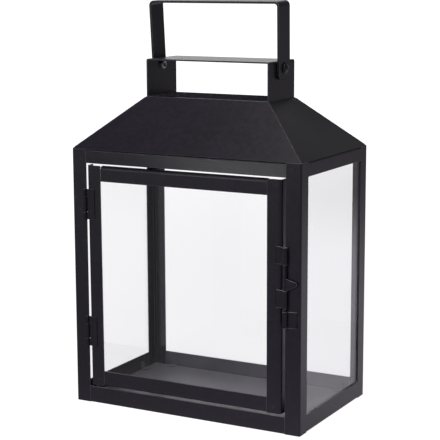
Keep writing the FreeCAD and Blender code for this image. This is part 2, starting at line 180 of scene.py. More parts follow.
def bent_line(points, radius=FOLD_RADIUS, curl=None):
    """Centre line of a bent strip in its plane, with the left-hand normal at each station.

    Straight runs are joined by arcs of the given radius: for a turn of angle a the arc starts
    radius * tan(a / 2) before the corner. curl = (radius, degrees) rolls the line on past its end.
    """
    points = np.array(points, float)
    runs = np.diff(points, axis=0)
    heads = runs / np.linalg.norm(runs, axis=1)[:, None]
    places, directions = [points[0]], [heads[0]]
    for corner, before, after in zip(points[1:-1], heads[:-1], heads[1:]):
        turn = math.atan2(np.cross(before, after), before @ after)
        cut = radius * math.tan(abs(turn) / 2)
        start = corner - before * cut
        places.append(start - before * HOLD)
        directions.append(before)
        arc_places, arc_directions = arc(start, before, radius, turn)
        places.extend(arc_places)
        directions.extend(arc_directions)
        places.append(corner + after * (cut + HOLD))
        directions.append(after)
    if curl:
        arc_places, arc_directions = arc(points[-1], heads[-1], curl[0], math.radians(curl[1]))
        places.extend(arc_places)
        directions.extend(arc_directions)
    else:
        places.append(points[-1])
        directions.append(heads[-1])
    return np.array(places), turned_left(np.array(directions))


def arc(start, heading, radius, turn):
    """Stations of an arc: direction d turns from the heading by turn, place = centre -+ left(d) r."""
    steps = max(3, int(abs(turn) / math.radians(15)))
    angle = np.linspace(0, turn, steps + 1) + math.atan2(heading[1], heading[0])
    directions = np.stack([np.cos(angle), np.sin(angle)], 1)
    side = math.copysign(radius, turn)
    centre = start + side * turned_left(heading)
    return centre - side * turned_left(directions), directions


def closed_solid(outer, inner, keep=None):
    """Solid between two grids of points: both skins, and a wall round every border of the kept cells."""
    rows, columns = outer.shape[:2]
    keep = np.ones((rows - 1, columns - 1), bool) if keep is None else keep
    top = np.arange(rows * columns).reshape(rows, columns)
    low = top + rows * columns
    i, j = np.nonzero(keep)
    skins = [
        np.stack([top[i, j], top[i + 1, j], top[i + 1, j + 1], top[i, j + 1]], 1),
        np.stack([low[i, j], low[i, j + 1], low[i + 1, j + 1], low[i + 1, j]], 1),
    ]
    ringed = np.pad(keep, 1)
    for axis in (0, 1):
        here = ringed[1:, 1:-1] if axis == 0 else ringed[1:-1, 1:]
        behind = ringed[:-1, 1:-1] if axis == 0 else ringed[1:-1, :-1]
        step = (0, 1) if axis == 0 else (1, 0)
        for border, way in ((here & ~behind, 1), (behind & ~here, -1)):
            a, b = np.nonzero(border)
            one, two = (a, b), (a + step[0], b + step[1])
            one, two = (one, two) if way * (1 if axis == 0 else -1) > 0 else (two, one)
            skins.append(np.stack([top[one], top[two], low[two], low[one]], 1))
    faces = np.concatenate(skins)
    used, faces = np.unique(faces, return_inverse=True)
    verts = np.concatenate([outer.reshape(-1, 3), inner.reshape(-1, 3)])[used]
    return verts, faces.reshape(-1, 4).tolist()


def strip(line, across, axis, thickness=SHEET, corners=(0, 0), notch=None):
    """Bent strip of sheet: skins at P(s) + N(s) h and P(s) - N(s) h, carried across its width.

    line gives P and N in the plane of the other two axes. corners rounds the strip's two ends in its
    own surface: at a distance d < r from an end, each side is cut back by r - sqrt(r^2 - (r - d)^2).
    notch = (from_s, column) leaves out that column of the width past that length.
    """
    places, normals = line
    gaps = np.linalg.norm(np.diff(places, axis=0), axis=1)
    length = np.concatenate([[0], np.cumsum(gaps)])
    total = length[-1]
    sweep = 1 - np.cos(np.linspace(0, math.pi / 2, 7))
    marks = [length]
    if corners[0]:
        marks.append(corners[0] * sweep)
    if corners[1]:
        marks.append(total - corners[1] * sweep)
    if notch:
        marks.append(np.array([notch[0]]))
    s = np.unique(np.concatenate(marks).round(4))
    p = np.stack([np.interp(s, length, places[:, k]) for k in (0, 1)], 1)
    n = np.stack([np.interp(s, length, normals[:, k]) for k in (0, 1)], 1)
    n /= np.linalg.norm(n, axis=1)[:, None]
    cut = np.zeros_like(s)
    for radius, d in ((corners[0], s), (corners[1], total - s)):
        if radius:
            inside = np.clip(radius - d, 0, radius)
            cut = np.maximum(cut, radius - np.sqrt(radius**2 - inside**2))
    t = np.array(across, float)
    middle, half = (t[0] + t[-1]) / 2, (t[-1] - t[0]) / 2
    width = middle + (t[None, :] - middle) * (1 - cut / half)[:, None]
    others = [k for k in (X, Y, Z) if k != axis]
    sides = []
    for offset in (thickness / 2, -thickness / 2):
        grid = np.empty((len(s), len(t), 3))
        grid[:, :, others] = (p + n * offset)[:, None, :]
        grid[:, :, axis] = width
        sides.append(grid)
    keep = None
    if notch:
        keep = np.ones((len(s) - 1, len(t) - 1), bool)
        keep[(s[:-1] >= notch[0] - 1e-3), notch[1]] = False
    return closed_solid(sides[0], sides[1], keep)


def slab(outer_corners, inner_corners, sag=0.0, cells=1):
    """Flat sheet with four corners a side: each skin is the bilinear blend of its corners.

    sag pulls the middle in by sag * sin(pi u) * sin(pi v) along the sheet's thickness.
    """
    u = np.linspace(0, 1, cells + 1)[:, None, None]
    v = np.linspace(0, 1, cells + 1)[None, :, None]
    skins = []
    for a, b, c, d in (np.array(outer_corners, float), np.array(inner_corners, float)):
        skins.append((a * (1 - u) + b * u) * (1 - v) + (d * (1 - u) + c * u) * v)
    inward = skins[1] - skins[0]
    inward /= np.linalg.norm(inward, axis=2)[:, :, None]
    pull = inward * sag * np.sin(math.pi * u) * np.sin(math.pi * v)
    return closed_solid(skins[0] + pull, skins[1] + pull)


def turned(profile, start, direction, steps=40):
    """Lathe-turned shape: profile rows are (distance along the axis, radius).

    Point(a, i) = start + axis * along_i + (e1 cos a + e2 sin a) * radius_i. The first and the last
    row have radius 0; each is a single pole, joined to its neighbour ring by a fan.
    """
    profile = np.array(profile, float)
    axis = np.array(direction, float) / np.linalg.norm(direction)
    e1 = np.cross(axis, (0, 0, 1) if abs(axis[2]) < 0.9 else (1, 0, 0))
    e1 /= np.linalg.norm(e1)
    e2 = np.cross(axis, e1)
    angle = np.linspace(0, 2 * math.pi, steps, endpoint=False)
    spokes = np.cos(angle)[:, None] * e1 + np.sin(angle)[:, None] * e2
    body = profile[1:-1]
    rings = (
        np.array(start, float) + body[:, None, :1] * axis + body[:, None, 1:] * spokes[None]
    ).reshape(-1, 3)
    poles = np.array(start, float) + profile[[0, -1], :1] * axis
    index = np.arange(len(body) * steps).reshape(len(body), steps)
    after = np.roll(index, -1, 1)
    quads = np.stack([index[:-1], after[:-1], after[1:], index[1:]], -1).reshape(-1, 4)
    first, last = len(rings), len(rings) + 1
    fans = [[first, b, a] for a, b in zip(index[0].tolist(), after[0].tolist())]
    fans += [[last, a, b] for a, b in zip(index[-1].tolist(), after[-1].tolist())]
    return np.concatenate([rings, poles]), quads.tolist() + fans


def plate(outline, axis, low, high):
    """Flat plate with a convex outline: the outline carried from low to high, ends closed by one face."""
    outline = np.array(outline, float)
    count = len(outline)
    others = [k for k in (X, Y, Z) if k != axis]
    verts = np.empty((2 * count, 3))
    verts[:, others] = np.concatenate([outline, outline])
    verts[:count, axis] = low
    verts[count:, axis] = high
    here = np.arange(count)
    after = np.roll(here, -1)
    walls = np.stack([here, after, after + count, here + count], 1).tolist()
    return verts, walls + [here[::-1].tolist(), (here + count).tolist()]


def outward(verts, faces):
    """The same faces, all turned round if the solid's signed volume is negative."""
    volume = 0.0
    for size in (3, 4):
        group = np.array([f for f in faces if len(f) == size])
        for k in range(2, size):
            if len(group):
                a, b, c = verts[group[:, 0]], verts[group[:, k - 1]], verts[group[:, k]]
                volume += np.einsum("ij,ij->", a, np.cross(b, c))
    return faces if volume > 0 else [f[::-1] for f in faces]


def piece(name, islands, nodes, materials, edge_round=EDGE_ROUND, face_kind=None):
    """One visible piece from its closed islands. It rides on the body of the first node it replaces.

    edge_round finishes every sharp edge with a small round in the second material, if there is one.
    It isn't clamped, because the short steps of a tight fold would cut it down everywhere.
    An island may carry the number of its material after its faces; without one it has the first.
    face_kind(centres, normals) gives each face the number of its material.
    """
    verts, faces, kinds, count = [], [], [], 0
    for island_verts, island_faces, *kind in islands:
        verts.append(island_verts)
        turned_faces = outward(island_verts, island_faces)
        faces += [[v + count for v in f] for f in turned_faces]
        kinds += (kind or [0]) * len(turned_faces)
        count += len(island_verts)
    mesh = bpy.data.meshes.new(name)
    mesh.from_pydata((np.concatenate(verts) * MM).tolist(), [], faces)
    mesh.polygons.foreach_set("use_smooth", np.ones(len(faces), bool))
    for material in materials:
        mesh.materials.append(material)
    if face_kind:
        values = {key: np.empty(len(faces) * 3) for key in ("center", "normal")}
        for key, array in values.items():
            mesh.polygons.foreach_get(key, array)
        kinds = face_kind(values["center"].reshape(-1, 3) / MM, values["normal"].reshape(-1, 3))
    mesh.polygons.foreach_set("material_index", np.array(kinds, np.int32))
    mesh.set_sharp_from_angle(angle=SHARP_ANGLE)
    obj = bpy.data.objects.new(name, mesh)
    bpy.context.scene.collection.objects.link(obj)
    if edge_round:
        bevel = obj.modifiers.new("rounded edges", "BEVEL")
        bevel.width = edge_round * MM
        bevel.segments = EDGE_STEPS
        bevel.limit_method = "ANGLE"
        bevel.angle_limit = SHARP_ANGLE
        bevel.harden_normals = True
        bevel.use_clamp_overlap = False
        # The second coats are paler: on these rounds they paint a highlight along the edges.
        bevel.material = 1 if len(materials) > 1 and not face_kind else -1
    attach(obj, frame["nodes"][nodes[0]]["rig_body"])
    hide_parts(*nodes)
    return obj


# ---- materials ----
def linear(hex_colour):
    """sRGB hex text to linear RGBA."""
    channels = [int(hex_colour[k:k + 2], 16) / 255 for k in (1, 3, 5)]
    return [c / 12.92 if c <= 0.04045 else ((c + 0.055) / 1.055) ** 2.4 for c in channels] + [1.0]


def add(tree, kind, inputs=None, **settings):
    """Adds a node with its settings; an input is a value or another node's output."""
    node = tree.nodes.new(kind)
    for key, value in settings.items():
        setattr(node, key, value)
    for key, value in (inputs or {}).items():
        if isinstance(value, bpy.types.NodeSocket):
            tree.links.new(value, node.inputs[key])
        else:
            node.inputs[key].default_value = value
    return node


def per_mm(size):
    """Noise scale on Object coordinates, in metres, for a feature of that many millimetres."""
    return 1 / (size * MM)


def new_material(name):
    """An empty node material with its tree and Object coordinates."""
    material = bpy.data.materials.new(name)
    material.use_nodes = True
    tree = material.node_tree
    tree.nodes.clear()
    return material, tree, add(tree, "ShaderNodeTexCoord").outputs["Object"]


def powder_coat(name, dark, light, rough_low, rough_high, dust=0.0):
    """Black polyester powder coat, sprayed and baked on steel: a satin skin with orange peel.

    The eye sees soft, wide reflections, a tone that drifts over centimetres, and a faint mottle
    where the powder levelled unevenly. Orange peel waves are 1.6 mm and the grain 0.35 mm, drawn
    coarser than the real 0.1 mm so that it shows. dust is the weight of a sheen that pales a shallow view
    of it.
    """
    material, tree, place = new_material(name)
    drift = add(tree, "ShaderNodeTexNoise", {"Vector": place, "Scale": per_mm(38), "Detail": 2.0})
    mottle = add(tree, "ShaderNodeTexNoise", {"Vector": place, "Scale": per_mm(3.5), "Detail": 3.0})
    both = add(tree, "ShaderNodeMath", {0: drift.outputs["Fac"], 1: mottle.outputs["Fac"]},
               operation="MULTIPLY")
    amount = add(tree, "ShaderNodeMapRange",
                 {"Value": both.outputs[0], "From Min": 0.15, "From Max": 0.38})
    colour = add(tree, "ShaderNodeMix",
                 {0: amount.outputs[0], 6: linear(dark), 7: linear(light)}, data_type="RGBA")
    rough = add(tree, "ShaderNodeMapRange",
                {"Value": mottle.outputs["Fac"], "From Min": 0.3, "From Max": 0.7,
                 "To Min": rough_low, "To Max": rough_high})
    grain = add(tree, "ShaderNodeTexNoise", {"Vector": place, "Scale": per_mm(0.35), "Detail": 1.0})
    peel = add(tree, "ShaderNodeTexNoise", {"Vector": place, "Scale": per_mm(1.6), "Detail": 1.0})
    waves = add(tree, "ShaderNodeBump",
                {"Height": peel.outputs["Fac"], "Distance": 0.0012 * MM, "Strength": 1.0})
    skin = add(tree, "ShaderNodeBump",
               {"Height": grain.outputs["Fac"], "Distance": 0.00015 * MM, "Strength": 1.0,
                "Normal": waves.outputs["Normal"]})
    shader = add(tree, "ShaderNodeBsdfPrincipled",
                 {"Base Color": colour.outputs[2], "Roughness": rough.outputs[0], "IOR": 1.5,
                  "Sheen Weight": dust, "Sheen Roughness": 0.6, "Normal": skin.outputs["Normal"]})
    add(tree, "ShaderNodeOutputMaterial", {"Surface": shader.outputs[0]})
    return material


def float_glass():
    """2 mm float glass, polished on both faces: clear, with a trace of grey, and thin sharp reflections.

    Lamps shine straight through it, and its faint haze of dust is in the roughness.
    """
    material, tree, place = new_material("clear_float_glass")
    dust = add(tree, "ShaderNodeTexNoise", {"Vector": place, "Scale": per_mm(16), "Detail": 3.0})
    haze = add(tree, "ShaderNodeMapRange",
               {"Value": dust.outputs["Fac"], "From Min": 0.5, "From Max": 0.8,
                "To Min": 0.0, "To Max": 0.03})
    pane = add(tree, "ShaderNodeBsdfPrincipled",
               {"Base Color": linear("#fdfdfe"), "Roughness": haze.outputs[0], "IOR": 1.5,
                "Transmission Weight": 1.0})
    through = add(tree, "ShaderNodeBsdfTransparent", {"Color": linear("#f4f4f5")})
    path = add(tree, "ShaderNodeLightPath")
    mixed = add(tree, "ShaderNodeMixShader",
                {0: path.outputs["Is Shadow Ray"], 1: pane.outputs[0], 2: through.outputs[0]})
    add(tree, "ShaderNodeOutputMaterial", {"Surface": mixed.outputs[0]})
    return material


def ground_glass_edge():
    """Cut and ground edge of float glass: iron in the glass makes it a cool grey green, finely frosted."""
    material, tree, place = new_material("ground_glass_edge")
    grind = add(tree, "ShaderNodeTexNoise", {"Vector": place, "Scale": per_mm(0.8), "Detail": 2.0})
    colour = add(tree, "ShaderNodeMix",
                 {0: grind.outputs["Fac"], 6: linear("#4d5c5c"), 7: linear("#71807f")},
                 data_type="RGBA")
    bump = add(tree, "ShaderNodeBump", {"Height": grind.outputs["Fac"], "Distance": 0.02 * MM})
    shader = add(tree, "ShaderNodeBsdfPrincipled",
                 {"Base Color": colour.outputs[2], "Roughness": 0.35, "IOR": 1.5,
                  "Normal": bump.outputs["Normal"]})
    add(tree, "ShaderNodeOutputMaterial", {"Surface": shader.outputs[0]})
    return material


def zinc_steel():
    """Zinc-plated steel, pressed and upset cold: a pale grey metal with fine streaks and dull spots."""
    material, tree, place = new_material("zinc_plated_steel")
    streak = add(tree, "ShaderNodeTexNoise", {"Vector": place, "Scale": per_mm(0.9), "Detail": 3.0})
    colour = add(tree, "ShaderNodeMix",
                 {0: streak.outputs["Fac"], 6: linear("#8d8d8f"), 7: linear("#c9c8c6")},
                 data_type="RGBA")
    rough = add(tree, "ShaderNodeMapRange",
                {"Value": streak.outputs["Fac"], "To Min": 0.22, "To Max": 0.5})
    bump = add(tree, "ShaderNodeBump", {"Height": streak.outputs["Fac"], "Distance": 0.03 * MM})
    shader = add(tree, "ShaderNodeBsdfPrincipled",
                 {"Base Color": colour.outputs[2], "Metallic": 1.0, "Roughness": rough.outputs[0],
                  "Normal": bump.outputs["Normal"]})
    add(tree, "ShaderNodeOutputMaterial", {"Surface": shader.outputs[0]})
    return material


# A full coat on the flats, a paler one on cut edges, where the coat thins and a painted highlight is laid
# on, and a darker one on the hardware.
coat = powder_coat("black_powder_coat", "#29272f", "#2e2c36", 0.29, 0.35)
edge_coat_painted_highlight = powder_coat("powder_coat_thin_on_edge", "#5c5b61", "#6e6d74", 0.26, 0.34)
hardware_coat = powder_coat("black_hardware_coat", "#222028", "#2b2932", 0.29, 0.37)
# Paler copies of the coat paint light onto the floor and the low rails inside the lantern, and a sheen
# pales them further at a shallow angle.
floor_coat_painted_light = powder_coat("powder_coat_under_dust", "#4a4950", "#605f67", 0.36, 0.48, 0.5)
rail_coat_painted_light = powder_coat("powder_coat_low_sheen", "#3d3c43", "#4a4951", 0.36, 0.46, 1.0)
# A paler coat paints a highlight along the roof's edges and the weld beads down its hips, and another on
# the keepers' edges.
hip_coat_painted_highlight = powder_coat("powder_coat_over_weld", "#434248", "#504f56", 0.28, 0.34)
keeper_edge_painted_highlight = powder_coat("powder_coat_worn_edge", "#7c7b82", "#919097", 0.24, 0.32)
glass = float_glass()
glass_edge = ground_glass_edge()
zinc = zinc_steel()
SHEET_COATS = [coat, edge_coat_painted_highlight]


# ---- folded angles: posts, rails, door members ----
def angle_path(node, axis, fold):
    """Centre line of an L section whose fold is at the given corner of the node's box."""
    box = box_mm(node)
    a, b = [k for k in (X, Y, Z) if k != axis]
    half = SHEET / 2
    corner_a = box[fold[0]][a] + half * (1 - 2 * fold[0])
    corner_b = box[fold[1]][b] + half * (1 - 2 * fold[1])
    return [(box[1 - fold[0]][a], corner_b), (corner_a, corner_b), (corner_a, box[1 - fold[1]][b])]


ANGLES = {
    "post_front_left": (Z, (LO, LO)),
    "post_front_right": (Z, (HI, LO)),
    "post_back_left": (Z, (LO, HI)),
    "post_back_right": (Z, (HI, HI)),
    "top_rail_front": (X, (LO, HI)),
    "top_rail_back": (X, (HI, HI)),
    "top_rail_left": (Y, (LO, HI)),
    "top_rail_right": (Y, (HI, HI)),
    "bottom_rail_front": (X, (LO, LO)),
    "bottom_rail_back": (X, (HI, LO)),
    "bottom_rail_left": (Y, (LO, LO)),
    "bottom_rail_right": (Y, (HI, LO)),
    "door_stile_left": (Z, (LO, LO)),
    "door_stile_right": (Z, (HI, LO)),
    "door_rail_bottom": (X, (LO, LO)),
    "door_rail_top": (X, (LO, HI)),
}


def folded_angles():
    """Sixteen folded angles; each is one L section carried along its node's length.

    The left stile is sheared towards the post, by STILE_LEAN at its top and by nothing at its foot.
    """
    for node, (axis, fold) in ANGLES.items():
        box = box_mm(node)
        radius = OPEN_FOLD_RADIUS if "door" in node else FOLD_RADIUS
        stations = RAIL_STATIONS if node == "top_rail_front" else 2
        across = np.linspace(box[LO][axis], box[HI][axis], stations)
        angle = strip(bent_line(angle_path(node, axis, fold), radius), across, axis)
        if node == "top_rail_front":
            lean_back(angle[0], box)
        if node == "door_stile_left":
            height = (angle[0][:, Z] - box[LO][Z]) / (box[HI][Z] - box[LO][Z])
            angle[0][:, X] -= STILE_LEAN * height
        islands = [angle] + spot_welds(SPOT_WELDS.get(node, ()), box[LO][Y])
        # The back and left bottom rails take a paler coat that paints the light inside the lantern.
        rail_gets_painted_light = node in ("bottom_rail_back", "bottom_rail_left")
        coats = [rail_coat_painted_light, edge_coat_painted_highlight] if rail_gets_painted_light else SHEET_COATS
        piece(node + "_angle", islands, [node], coats)


def lean_back(verts, box):
    """Welding pulls the front top rail's upper edge back: none at its left end, RAIL_LEAN at its right.

    The shift is RAIL_LEAN * (3 t^2 - 2 t^3) * height * (distance from the back edge), each from 0 to 1,
    where t runs from 0 at the left end to 1 at RAIL_LEAN_SPAN of the length.
    """
    across, depth, height = ((verts - box[LO]) / (box[HI] - box[LO])).T
    t = np.clip(across / RAIL_LEAN_SPAN, 0, 1)
    verts[:, Y] += RAIL_LEAN * t**2 * (3 - 2 * t) * height * (1 - depth)


def spot_welds(spots, face_y):
    """Shallow lens-shaped marks on a front face: height h (1 - (r / R)^2) over a circle of radius R."""
    r = np.linspace(0, 1, 5)[::-1]
    lens = np.stack([SPOT_HEIGHT * (1 - r**2), SPOT_RADIUS * r], 1)
    profile = np.concatenate([[(-SPOT_HEIGHT, 0)], lens])
    return [turned(profile, (x, face_y, z), (0, -1, 0), 16) for x, z in spots]


# ---- floor and roof ----
def floor_sheet():
    """Flat floor sheet between the rails."""
    lo, hi = box_mm("floor_plate")
    rim = [(lo[X], lo[Y]), (hi[X], lo[Y]), (hi[X], hi[Y]), (lo[X], hi[Y])]
    sheet = slab([(x, y, hi[Z]) for x, y in rim], [(x, y, lo[Z]) for x, y in rim])
    # The floor takes a paler coat that paints the light inside the lantern.
    piece("floor_plate_sheet", [sheet], ["floor_plate"], [floor_coat_painted_light, edge_coat_painted_highlight])


def roof():
    """Four sloping panels with mitred edges, and a dressed weld bead down each hip."""
    lo, hi = box_mm("roof_panel_front")
    eave = np.array([hi[X], -lo[Y]])
    rim = np.array(ROOF_RIM)
    rise = hi[Z] - lo[Z]
    run = eave - rim
    slope = np.hypot(rise, run)
    inset = SHEET * slope / rise
    corner = {}
    for skin, shrink in (("outer", 0), ("inner", 1)):
        for level, half, z in (("eave", eave, lo[Z]), ("rim", rim, hi[Z])):
            a, b = half - inset * shrink
            ring = [(-a, -b, z), (a, -b, z), (a, b, z), (-a, b, z)]
            corner[skin, level] = ring
    sides = {"front": (0, 1), "right": (1, 2), "back": (2, 3), "left": (3, 0)}
    beads = {"front": hip_welds(-1), "back": hip_welds(1)}
    for side, (i, j) in sides.items():
        skins = []
        for skin in ("outer", "inner"):
            low, high = corner[skin, "eave"], corner[skin, "rim"]
            skins.append([low[i], low[j], high[j], high[i]])
        node = "roof_panel_" + side
        panel = slab(skins[0], skins[1], sag=ROOF_SAG, cells=8)
        islands = [panel] + beads.get(side, [])
        # The second coat is paler: it paints a highlight on the mitred edges and the hip beads.
        piece(node + "_sheet", islands, [node], [coat, hip_coat_painted_highlight], ROOF_EDGE_ROUND)


def hip_welds(way):
    """Dressed weld beads down the two hips of the front (way -1) or back (way 1) of the roof.

    Each is a thin spindle sunk in the corner; its radius ripples by about a tenth along it.
    """
    lo, hi = box_mm("roof_panel_front")
    eave, rim = np.array([hi[X], -lo[Y], lo[Z]]), np.array([*ROOF_RIM, hi[Z]])
    beads = []
    for corner in ((1, way, 1), (-1, way, 1)):
        start, end = eave * corner, rim * corner
        along = end - start
        s = np.linspace(HIP_BEAD_INSET, np.linalg.norm(along) - HIP_BEAD_INSET / 2, 60)
        ripple = 1 + 0.06 * np.sin(s * 2.1) + 0.05 * np.sin(s * 0.83 + 1.0)
        profile = np.stack([s, HIP_BEAD_RADIUS * ripple], 1)
        profile[[0, -1], 1] = 0
        sink = np.array([-corner[0], -corner[1], -1.0]) * HIP_BEAD_SINK
        # The beads take the second, paler coat, a painted highlight down the hips.
        beads.append((*turned(profile, start + sink, along, 10), 1))
    return beads


# ---- cap bracket, handle, rivets ----
def cap_bracket():
    """One strip bent to an inverted U; its ears stand on the roof's rim."""
    lo, hi = box_mm("cap_bracket")
    half = CAP_SHEET / 2
    x, top = hi[X] - half, hi[Z] - half
    line = bent_line([(-x, lo[Z]), (-x, top), (x, top), (x, lo[Z])], CAP_BEND_RADIUS)
    bracket = strip(line, (lo[Y], hi[Y]), Y, CAP_SHEET)
    piece("cap_bracket_strip", [bracket], ["cap_bracket"], SHEET_COATS)


def handle():
    """Flat strip bent to a U, arms slightly splayed, its ends rounded, leaning about the pivot."""
    top = HANDLE_TOP_Z - HANDLE_SHEET / 2
    line = bent_line([
        (-HANDLE_ARM_BOTTOM_X, HANDLE_BOTTOM_Z), (-HANDLE_ARM_TOP_X, top),
        (HANDLE_ARM_TOP_X, top), (HANDLE_ARM_BOTTOM_X, HANDLE_BOTTOM_Z),
    ], HANDLE_BEND_RADIUS)
    half = HANDLE_STRIP / 2
    ends = (HANDLE_END_RADIUS, HANDLE_END_RADIUS)
    verts, faces = strip(line, (-half, half), Y, HANDLE_SHEET, ends)
    y, z = verts[:, Y].copy(), verts[:, Z] - PIVOT_Z
    verts[:, Y] = y * math.cos(HANDLE_LEAN) - z * math.sin(HANDLE_LEAN)
    verts[:, Z] = y * math.sin(HANDLE_LEAN) + z * math.cos(HANDLE_LEAN) + PIVOT_Z
    piece("handle_strip", [(verts, faces)], ["handle"], SHEET_COATS)


def rivets():
    """Pivot rivets: a low dome on a thin rim outside the arm, an open flared tail inside the ear."""
    for side, way in (("left", -1), ("right", 1)):
        node = "handle_rivet_" + side
        lo, hi = box_mm(node)
        tip = max(abs(lo[X]), abs(hi[X]))
        tail = min(abs(lo[X]), abs(hi[X]))
        rim_radius = (hi[Z] - lo[Z]) / 2
        crown = tip - RIVET_DOME_HEIGHT
        seat = crown - RIVET_RIM
        ear_inside = tail + RIVET_TAIL_LENGTH
        rise = np.radians(np.linspace(0, 90, 9))
        dome = np.stack([crown + RIVET_DOME_HEIGHT * np.sin(rise), RIVET_DOME_RADIUS * np.cos(rise)], 1)
        lip = np.radians(np.linspace(180, 0, 7))
        lip_middle = (RIVET_BORE_RADIUS + RIVET_TAIL_RADIUS) / 2
        lip_half = (RIVET_TAIL_RADIUS - RIVET_BORE_RADIUS) / 2
        roll = np.stack([
            tail + lip_half * RIVET_LIP_ROLL * (1 - np.sin(lip)),
            lip_middle + lip_half * np.cos(lip),
        ], 1)
        profile = np.concatenate([
            [(tail + RIVET_BORE_DEPTH, 0), (tail + RIVET_BORE_DEPTH, RIVET_BORE_RADIUS)],
            roll,
            [(ear_inside, RIVET_TAIL_RADIUS), (ear_inside, RIVET_SHANK_RADIUS),
             (seat, RIVET_SHANK_RADIUS), (seat, rim_radius - RIVET_EASE), (seat + RIVET_EASE, rim_radius),
             (crown - RIVET_EASE, rim_radius), (crown, rim_radius - RIVET_CROWN_STEP)],
            dome[:-1],
            [(tip, 0)],
        ])
        rivet = turned(profile, (0, 0, PIVOT_Z), (way, 0, 0))
        piece(
            node + "_upset", [rivet], [node], [zinc, hardware_coat], edge_round=0,
            face_kind=lambda centres, normals, edge=seat - RIVET_COAT_REACH: np.abs(centres[:, X]) > edge,
        )


# ---- glass ----
def panes():
    """Four panes: flat slabs with polished faces and ground edges."""
    for node, axis in (("glass_left", X), ("glass_right", X), ("glass_back", Y), ("door_glass", Y)):
        lo, hi = box_mm(node)
        others = [k for k in (X, Y, Z) if k != axis]
        skins = []
        for level in (hi, lo):
            ring = np.empty((4, 3))
            ring[:, axis] = level[axis]
            ring[:, others[0]] = [lo[others[0]], hi[others[0]], hi[others[0]], lo[others[0]]]
            ring[:, others[1]] = [lo[others[1]], lo[others[1]], hi[others[1]], hi[others[1]]]
            skins.append(ring)
        piece(
            node + "_pane", [slab(skins[0], skins[1])], [node], [glass, glass_edge],
            edge_round=0,
            face_kind=lambda centres, normals, k=axis: np.abs(normals[:, k]) < 0.5,
        )


def clips():
    """Small bent tabs: a foot on the metal and a leg along the glass."""
    lo, hi = box_mm("glass_clips")
    half = CLIP_WIDTH / 2
    thick = CLIP_SHEET / 2
    tabs = []
    for foot, leg in ((lo[Z] + thick, lo[Z] + CLIP_LEG), (hi[Z] - thick, hi[Z] - CLIP_LEG)):
        for way in (-1, 1):
            x = way * (hi[X] - thick)
            line = bent_line([(x - way * CLIP_LEG, foot), (x, foot), (x, leg)], CLIP_FOLD)
            for y in SIDE_CLIP_Y:
                tabs.append(strip(line, (y - half, y + half), Y, CLIP_SHEET, (CLIP_CORNER, CLIP_CORNER)))
        y = hi[Y] - thick
        line = bent_line([(y - CLIP_LEG, foot), (y, foot), (y, leg)], CLIP_FOLD)
        for x in BACK_CLIP_X:
            tabs.append(strip(line, (x - half, x + half), X, CLIP_SHEET, (CLIP_CORNER, CLIP_CORNER)))
    # The tabs take the floor's paler coat, its painted light, so they blend in with it.
    coats = [floor_coat_painted_light, edge_coat_painted_highlight]
    piece("glass_clip_tabs", tabs, ["glass_clips"], coats, CLIP_EDGE_ROUND)

    lo, hi = box_mm("door_glass_clips")
    tabs = []
    for edge, way in ((lo[X], 1), (hi[X], -1)):
        x = edge + way * thick
        y = lo[Y] + thick
        line = bent_line([(x, y + DOOR_CLIP_FOOT), (x, y), (x + way * CLIP_LEG, y)], CLIP_FOLD)
        for z in DOOR_CLIP_Z:
            tabs.append(strip(line, (z - half, z + half), Z, CLIP_SHEET, (CLIP_CORNER, CLIP_CORNER)))
    piece("door_glass_clip_tabs", tabs, ["door_glass_clips"], SHEET_COATS,
          CLIP_EDGE_ROUND)


# ---- hinges ----
def hinges():
    """Butt hinges: rolled knuckles on a door leaf and a post leaf, with a headless pin."""
    hinge_coats = [hardware_coat, edge_coat_painted_highlight]
    for level in ("lower", "upper"):
        pin_lo, pin_hi = box_mm("hinge_pin_" + level)
        pin = (pin_lo + pin_hi) / 2
        node = "hinge_door_leaf_" + level
        lo, hi = box_mm(node)
        radius = pin[X] - lo[X] - LEAF_SHEET / 2
        leaf_y = hi[Y] - LEAF_SHEET / 2
        roll_y = pin[Y] + radius
        step_from, step_to = (HINGE_NOTCH_X + step for step in DOOR_LEAF_STEP)
        path = [(hi[X], leaf_y), (step_from, leaf_y), (step_to, roll_y), (pin[X], roll_y)]
        line = bent_line(path, KNUCKLE_BEND_RADIUS, curl=(radius, CURL_TURN))
        heights = (lo[Z], lo[Z] + HINGE_END_KNUCKLE, hi[Z] - HINGE_END_KNUCKLE, hi[Z])
        leaf = strip(
            line, heights, Z, LEAF_SHEET, corners=(LEAF_CORNER, 0), notch=(hi[X] - HINGE_NOTCH_X, 1)
        )
        piece(node + "_rolled", [leaf], [node], hinge_coats, HINGE_EDGE_ROUND)

        node = "hinge_post_leaf_" + level
        lo, hi = box_mm(node)
        web_x = hi[X] - LEAF_SHEET / 2
        back_y = hi[Y] - LEAF_SHEET / 2
        web_end = (web_x, pin[Y] + POST_LEAF_STEP_Y)
        path = [(lo[X], back_y), (web_x, back_y), web_end, (pin[X] + radius, pin[Y])]
        line = bent_line(path, KNUCKLE_BEND_RADIUS, curl=(radius, -POST_CURL_TURN))
        leaf = strip(line, (lo[Z], hi[Z]), Z, LEAF_SHEET, corners=(LEAF_CORNER, 0))
        piece(node + "_rolled", [leaf], [node], hinge_coats, HINGE_EDGE_ROUND)

        pin_radius = (pin_hi[X] - pin_lo[X]) / 2
        length = pin_hi[Z] - pin_lo[Z]
        rod = turned(domed_rod(pin_radius, length, PIN_DOME), (pin[X], pin[Y], pin_lo[Z]), (0, 0, 1), 24)
        node = "hinge_pin_" + level
        piece(node + "_rod", [rod], [node], [zinc], edge_round=0)


def domed_rod(radius, length, dome):
    """Profile of a rod whose ends are quarter-ellipse domes of that height."""
    a = np.radians(np.linspace(0, 90, 5))
    start = np.stack([dome * (1 - np.cos(a)), radius * np.sin(a)], 1)
    end = np.stack([length - dome * (1 - np.cos(a)), radius * np.sin(a)], 1)[::-1]
    return np.concatenate([start, end])


